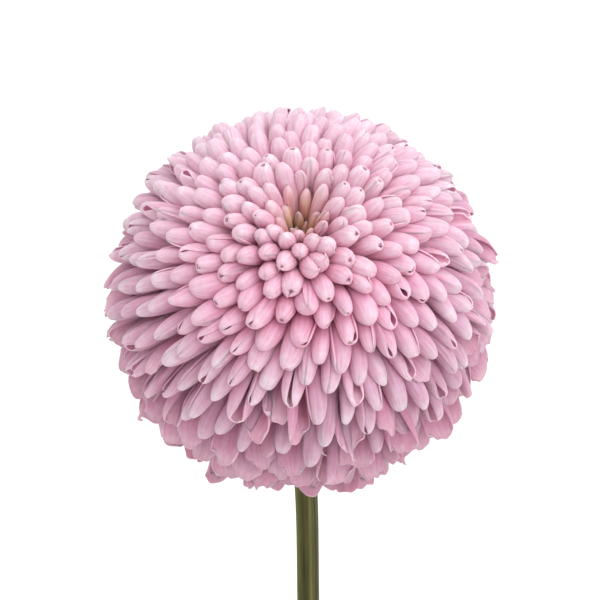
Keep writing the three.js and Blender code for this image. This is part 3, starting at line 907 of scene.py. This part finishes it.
def leafMaterial(name, lower):
    # Leaf blade: matte with a fine down, dark above with sunken pale veins, grey-green beneath
    material, tree, shader = newMaterial(name, {
        "Roughness": 0.65 if lower else 0.45,
        "Subsurface Weight": 0.12,
        "Subsurface Radius": (0.4, 0.8, 0.2),
        "Subsurface Scale": 0.8 * mm,
        "Sheen Weight": 0.25 if lower else 0.05,
        "Sheen Roughness": 0.5,
    })
    along = addNode(tree, "Attribute", {"attribute_name": "along"}).outputs["Fac"]
    across = addNode(tree, "Attribute", {"attribute_name": "across"}).outputs["Fac"]
    place = addNode(tree, "TexCoord", {}).outputs["Object"]
    # The net of small veins has a mesh of 2.4 mm, coarser than life, and the blade's patches are 14 mm wide
    cells = addNode(tree, "TexVoronoi", {"feature": "DISTANCE_TO_EDGE", "Vector": place, "Scale": 420.0})
    patches = addNode(tree, "TexNoise", {"Vector": place, "Scale": 70.0, "Detail": 4.0})
    if lower:
        body = addNode(tree, "ValToRGB", {"Fac": patches, "stops": [(0.3, "#63744a"), (0.7, "#7a8860")]})
        veinColour = linearColour("#98a47a")
    else:
        tone = addNode(tree, "Attribute", {"attribute_name": "tone"}).outputs["Fac"]
        dark = addNode(tree, "ValToRGB", {"Fac": patches, "stops": [(0.3, "#243a18"), (0.7, "#365022")]})
        light = addNode(tree, "ValToRGB", {"Fac": patches, "stops": [(0.3, "#30491e"), (0.7, "#475e28")]})
        body = layTints(tree, dark, [("MIX", tone, light)])
        veinColour = linearColour("#6c8048")
    net = addNode(tree, "ValToRGB", {"Fac": cells, "stops": [(0.0, 1.0), (0.12, 0.0)]})
    faintNet = layTints(tree, (0, 0, 0, 1), [("MIX", 0.3, net)])
    stops = [(0.0, 0.0)]
    for vein in leaf["veins"]:
        stops += [(vein - 0.008, 0.0), (vein, 0.8), (vein + 0.008, 0.0)]
    sideVeins = addNode(tree, "ValToRGB", {"Fac": along, "stops": stops})
    fading = addNode(tree, "ValToRGB", {"Fac": across, "stops": [(0.5, 1.0), (0.95, 0.0)]})
    sideVeins = layTints(tree, sideVeins, [("MULTIPLY", 1.0, fading)])
    midrib = addNode(tree, "ValToRGB", {"Fac": across, "stops": [(0.02, 1.0), (0.07, 0.0)]})
    colour = layTints(tree, body, [("MIX", veining, veinColour) for veining in (faintNet, sideVeins, midrib)])
    finishSurface(tree, shader, colour, cells, 0.15 * mm, 0.5)
    return material


def makeLeaves():
    upper = leafMaterial("leaf blade, upper face", False)
    lower = leafMaterial("leaf blade, downy lower face", True)
    # Leaf stalk: smooth, paler and a little glossier than the blade
    settings = {"Roughness": 0.45, "Sheen Weight": 0.2, "Sheen Roughness": 0.5}
    stalk, tree, shader = newMaterial("leaf stalk", settings)
    place = addNode(tree, "TexCoord", {}).outputs["Object"]
    grain = addNode(tree, "TexNoise", {"Vector": place, "Scale": 500.0, "Detail": 2.0})  # 2 mm
    tint = addNode(tree, "ValToRGB", {"Fac": grain, "stops": [(0.3, "#5f7038"), (0.7, "#7a8850")]})
    tree.links.new(tint.outputs["Color"], shader.inputs["Base Color"])
    for number, plan in enumerate(leafPlaces, 1):
        line = leafMidline(plan)
        shape = bmesh.new()
        layers = floatLayers(shape, ("turn", "along", "across", "tone"))
        made = bmesh.ops.create_grid(shape, x_segments=leaf["across"], y_segments=leaf["along"], size=1)
        for vertex in made["verts"]:
            side, share = vertex.co.x, (vertex.co.y + 1) / 2
            vertex[layers["along"]] = share - leaf["veinSlant"] * abs(side)
            vertex[layers["across"]] = abs(side)
            vertex[layers["tone"]] = plan["tone"]
            vertex.co = bladePoint(plan, line, side, share)
        top = list(shape.faces)
        thick = bmesh.ops.solidify(shape, geom=top, thickness=leaf["thickness"])
        for face in thick["geom"]:
            if isinstance(face, bmesh.types.BMFace) and face not in top:
                face.material_index = 1
        blade = set(shape.faces)
        growTube(
            shape, layers, leaf["stalkSides"], leaf["stalkRings"],
            lambda share, turn: stalkPoint(plan, line, share, turn),
        )
        for face in shape.faces:
            if face not in blade:
                face.material_index = 2
        bmesh.ops.recalc_face_normals(shape, faces=shape.faces)
        makePiece(f"leafBlade_{number:02d}", shape, [upper, lower, stalk], f"leaf_{number:02d}")


makeLeaves()
print("leaves made")

# Soil

soil = {
    "wall": [(0, 4.3), (40.2, 4.3), (42.6, 6.7), (56.5, 92)],    # radius and height along the pot, in mm
    "top": 101 * mm,
    "edge": 60.5 * mm,             # its top's radius
    "moundHeight": 3.5 * mm,
    "lumpHeight": 0.9 * mm,
    "lumpLengths": (15, 17, 20),   # mm
    "fineLump": 0.9 * mm,
    "rings": 30,
    "sides": 96,
    "grains": [
        # name, how many, what of, least and greatest radius in mm, stretch
        ("peatCrumbs", 420, "peat", 0.6, 1.9, (1.2, 1.0, 0.8)),
        ("barkChips", 90, "bark", 0.9, 1.8, (2.6, 1.1, 0.5)),
        ("perliteGrains", 75, "perlite", 0.6, 1.4, (1.0, 1.0, 0.9)),
    ],
    "materials": {
        # name, darkest and lightest colour, grains in a metre
        "peat": ("peat potting mix", "#1f1610", "#46342a", 600.0),
        "bark": ("composted bark chips", "#33241a", "#6b5140", 350.0),
        "perlite": ("expanded perlite grains", "#cfcac0", "#f0ede6", 800.0),
    },
    "tilt": 0.5,                   # radians at most
    "uneven": (0.75, 1.2),         # least and most that a grain's corners are moved in or out
    "seed": 8,
}


def soilHeight(x, y):
    out = math.hypot(x, y) / soil["edge"]
    height = soil["top"] + soil["moundHeight"] * (1 - out ** 2)
    first, second, third = [math.tau / (length * mm) for length in soil["lumpLengths"]]
    lumps = math.sin(first * x) * math.cos(second * y) + math.sin(third * (x - y))
    height += soil["lumpHeight"] * lumps * min(1, math.hypot(x, y) / (12 * mm))
    fine = noise.noise(Vector((x, y, 0)) / (4 * mm)) + 0.5 * noise.noise(Vector((x, y, 9)) / (1.7 * mm))
    return height + soil["fineLump"] * fine


def earthMaterial(name, dark, light, scale):
    # Peat potting mix: dark, fibrous and matte, with paler bark chips and white perlite grains in it
    material, tree, shader = newMaterial(name, {"Roughness": 0.95})
    place = addNode(tree, "TexCoord", {}).outputs["Object"]
    grain = addNode(tree, "TexNoise", {"Vector": place, "Scale": scale, "Detail": 5.0})
    tint = addNode(tree, "ValToRGB", {"Fac": grain, "stops": [(0.3, dark), (0.7, light)]})
    finishSurface(tree, shader, tint, grain, 0.5 * mm, 0.8)
    return material


def makeSoil():
    materials = {key: earthMaterial(*settings) for key, settings in soil["materials"].items()}
    shape = bmesh.new()
    profile = [(radius * mm, z * mm) for radius, z in soil["wall"]]
    for i in range(soil["rings"] + 1):
        profile.append((soil["edge"] * (1 - i / soil["rings"]), soil["top"]))
    spinProfile(shape, profile, soil["sides"])
    for vertex in shape.verts:
        if vertex.co.z > soil["top"] - mm:
            vertex.co.z = soilHeight(vertex.co.x, vertex.co.y)
    makePiece("pottingMix", shape, [materials["peat"]], "soil")

    draw = random.Random(soil["seed"])
    for name, count, key, least, most, stretch in soil["grains"]:
        shape = bmesh.new()
        for _ in range(count):
            out = math.sqrt(draw.uniform(0.006, 0.93)) * soil["edge"]
            turn = draw.uniform(0, math.tau)
            x, y = out * math.cos(turn), out * math.sin(turn)
            size = draw.uniform(least, most) * mm
            made = bmesh.ops.create_icosphere(shape, subdivisions=1, radius=size)
            tilts = [draw.uniform(-soil["tilt"], soil["tilt"]) for _ in range(2)]
            spun = Euler((*tilts, draw.uniform(0, math.tau))).to_matrix().to_4x4()
            for vertex in made["verts"]:
                vertex.co *= draw.uniform(*soil["uneven"])
            seat = Matrix.Translation((x, y, soilHeight(x, y) + 0.2 * size))
            stretched = Matrix.Diagonal((*stretch, 1))
            bmesh.ops.transform(shape, matrix=seat @ spun @ stretched, verts=made["verts"])
        piece = makePiece(name, shape, [materials[key]], "soil")
        piece.data.polygons.foreach_set("use_smooth", [False] * len(piece.data.polygons))


makeSoil()
print("soil made")

# Pot, in mm

pot = {
    "height": 118,
    "rimRadius": 65,
    "shoulderHeight": 97,
    "shoulderRadius": 60.5,
    "footRadius": 44,
    "wall": 2.4,
    "floor": 4,
    "edge": 1.2,
    "cornerRadius": 0.9,
    "cornerSteps": 4,
    "sides": 96,
    "drains": 6,
    "drainRing": 32,               # radius of the circle that they stand on
    "drainRadius": 4.5,
    "drainSides": 32,
    "channelDepth": 1.8,           # of the groove under the foot from each drain outwards
    "channelWidth": 6,
    "sharpFrom": 38,               # degrees between faces that keep a crisp edge
}


def roundedProfile(points, radius, steps):  # a line of corners with each inner one turned into a small arc
    softened = [points[0]]
    for before, corner, after in zip(points, points[1:], points[2:]):
        middle = Vector(corner)
        back, on = Vector(before) - middle, Vector(after) - middle
        cut = min(radius, 0.45 * back.length, 0.45 * on.length)
        start, end = middle + back.normalized() * cut, middle + on.normalized() * cut
        for step in range(steps + 1):
            t = step / steps
            softened.append(tuple(start * (1 - t) ** 2 + middle * 2 * t * (1 - t) + end * t ** 2))
    return softened + [points[-1]]


def cutFrom(mesh, cutters):  # a mesh with other closed meshes cut away from it
    body = addObject("potBlank", mesh)
    for cutter in cutters:
        modifier = body.modifiers.new("Cut", "BOOLEAN")
        modifier.operation = "DIFFERENCE"
        modifier.solver = "EXACT"
        modifier.object = addObject("potCutter", cutter)
    bpy.context.view_layer.update()
    done = bpy.data.meshes.new_from_object(body.evaluated_get(bpy.context.evaluated_depsgraph_get()))
    for modifier in body.modifiers:
        bpy.data.objects.remove(modifier.object)
    bpy.data.objects.remove(body)
    return done


def potMaterial():
    # Injection-moulded polypropylene coloured like terracotta: even, satin-matte, with a fine mould grain
    settings = {"Roughness": 0.48, "IOR": 1.49}
    material, tree, shader = newMaterial("moulded polypropylene, terracotta colour", settings)
    place = addNode(tree, "TexCoord", {}).outputs["Object"]
    # The mould's grain is drawn at 0.7 mm, coarser than life, and its flow marks are 40 mm wide
    speckle = addNode(tree, "TexNoise", {"Vector": place, "Scale": 1400.0, "Detail": 2.0})
    cloud = addNode(tree, "TexNoise", {"Vector": place, "Scale": 25.0, "Detail": 4.0})
    base = addNode(tree, "ValToRGB", {"Fac": cloud, "stops": [(0.3, "#96502f"), (0.7, "#a65c38")]})
    dust = addNode(tree, "ValToRGB", {"Fac": speckle, "stops": [(0.3, "#e2d6cc"), (0.7, "#ffffff")]})
    height = addNode(tree, "SeparateXYZ", {0: place}).outputs["Z"]
    settings = {"Value": height, "From Min": 0.02, "From Max": 0.0, "To Max": 0.45}
    splash = addNode(tree, "MapRange", settings)  # earth splashed on its lowest 20 mm
    colour = layTints(tree, base, [("MULTIPLY", 0.5, dust), ("MIX", splash, linearColour("#8d6a50"))])
    gloss = addNode(tree, "ValToRGB", {"Fac": cloud, "stops": [(0.3, 0.42), (0.7, 0.54)]})
    tree.links.new(gloss.outputs["Color"], shader.inputs["Roughness"])
    finishSurface(tree, shader, colour, speckle, 0.05 * mm, 0.5)
    return material


def makePot():
    height, rim, shoulder, foot = pot["height"], pot["rimRadius"], pot["shoulderRadius"], pot["footRadius"]
    wall, floor, edge, band = pot["wall"], pot["floor"], pot["edge"], pot["shoulderHeight"]
    insideAtFloor = foot + (shoulder - foot) / band * floor - wall
    profile = [
        (0, 0), (foot - edge, 0), (foot, edge), (shoulder, band), (rim - edge, band + edge / 3),
        (rim - edge / 2, band + edge), (rim, height - edge), (rim - edge, height), (rim - wall, height),
        (rim - wall - edge, height - edge), (rim - wall - edge, band + wall), (shoulder - wall, band - wall),
        (insideAtFloor, floor + wall), (insideAtFloor - wall, floor), (0, floor),
    ]
    blank = bmesh.new()
    rounded = roundedProfile(profile, pot["cornerRadius"], pot["cornerSteps"])
    spinProfile(blank, [(radius * mm, z * mm) for radius, z in rounded], pot["sides"])

    holes = bmesh.new()
    channels = bmesh.new()
    length = foot - pot["drainRing"] + 2 * edge
    hole = Matrix.Translation((pot["drainRing"] * mm, 0, 0))
    seat = Matrix.Translation(((pot["drainRing"] + length / 2) * mm, 0, 0))
    stretched = Matrix.Diagonal((length * mm, pot["channelWidth"] * mm, 2 * pot["channelDepth"] * mm, 1))
    radius = pot["drainRadius"] * mm
    for i in range(pot["drains"]):
        turn = Matrix.Rotation(math.tau * i / pot["drains"], 4, "Z")
        bmesh.ops.create_cone(
            holes, cap_ends=True, segments=pot["drainSides"], radius1=radius, radius2=radius, depth=20 * mm,
            matrix=turn @ hole,
        )
        bmesh.ops.create_cube(channels, size=1, matrix=turn @ seat @ stretched)

    shape = bmesh.new()
    cutters = [toMesh("drainHoles", holes), toMesh("drainChannels", channels)]
    shape.from_mesh(cutFrom(toMesh("potBlank", blank), cutters))
    bmesh.ops.remove_doubles(shape, verts=shape.verts, dist=1e-6)
    piece = makePiece("mouldedPot", shape, [potMaterial()], "pot")
    piece.data.set_sharp_from_angle(angle=math.radians(pot["sharpFrom"]))


makePot()
print("pot made")

# Floor, light and camera

studio = {
    "floorDark": "#f4f3f1",
    "floorLight": "#f7f6f4",
    "floorSize": 8.0,
    "skyColour": "#ffffff",
    "skyStrength": 1.0,
    "lights": [
        # name, place, size, watts, all aimed at the bloom
        ("overheadSoftbox", (0.35, -0.1, 1.5), 1.6, 9.0),
        ("frontSoftbox", (0.8, -1.0, 1.1), 1.0, 4.5),
    ],
    "cameraDistance": 0.65,
    "cameraElevation": math.radians(33),
    "pixelsPerMillimetre": 3.94,     # at the bloom's middle
    "frameWidth": 600,
    "bloomColumn": 301,              # pixel column of the bloom's middle
    "sensorWidth": 36,               # mm
}


def makeStudio():
    # Matt white paint, rolled on: even, with a faint cloudiness
    material, tree, shader = newMaterial("painted studio floor", {"Roughness": 0.9})
    place = addNode(tree, "TexCoord", {}).outputs["Object"]
    grain = addNode(tree, "TexNoise", {"Vector": place, "Scale": 40.0})  # 25 mm
    stops = [(0.0, studio["floorDark"]), (1.0, studio["floorLight"])]
    tint = addNode(tree, "ValToRGB", {"Fac": grain, "stops": stops})
    tree.links.new(tint.outputs["Color"], shader.inputs["Base Color"])
    shape = bmesh.new()
    bmesh.ops.create_grid(shape, x_segments=1, y_segments=1, size=studio["floorSize"])
    floor = addObject("floor", toMesh("floor", shape))
    floor.data.materials.append(material)

    world = bpy.data.worlds.new("softSky")
    bpy.context.scene.world = world
    world.use_nodes = True
    background = world.node_tree.nodes["Background"]
    background.inputs["Color"].default_value = linearColour(studio["skyColour"])
    background.inputs["Strength"].default_value = studio["skyStrength"]

    for name, place, size, watts in studio["lights"]:
        lamp = bpy.data.lights.new(name, "AREA")
        lamp.shape = "DISK"
        lamp.size = size
        lamp.energy = watts
        holder = addObject(name, lamp)
        holder.location = place
        holder.rotation_euler = (head["centre"] - Vector(place)).to_track_quat("-Z", "Y").to_euler()
    bpy.context.scene.view_settings.view_transform = "Standard"


def makeCamera():
    lens = bpy.data.cameras.new("camera")
    lens.sensor_width = studio["sensorWidth"]
    distanceMillimetres = studio["cameraDistance"] / mm
    pixelsPerRadian = studio["pixelsPerMillimetre"] * distanceMillimetres
    lens.lens = pixelsPerRadian * lens.sensor_width / studio["frameWidth"]
    lens.shift_x = (studio["frameWidth"] / 2 - studio["bloomColumn"]) / studio["frameWidth"]
    camera = addObject("camera", lens)
    raised = studio["cameraElevation"]
    back = Vector((0, -math.cos(raised), math.sin(raised)))
    camera.location = head["centre"] + back * studio["cameraDistance"]
    camera.rotation_euler = (-back).to_track_quat("-Z", "Y").to_euler()
    bpy.context.scene.camera = camera


makeStudio()
makeCamera()
print("studio and camera set")
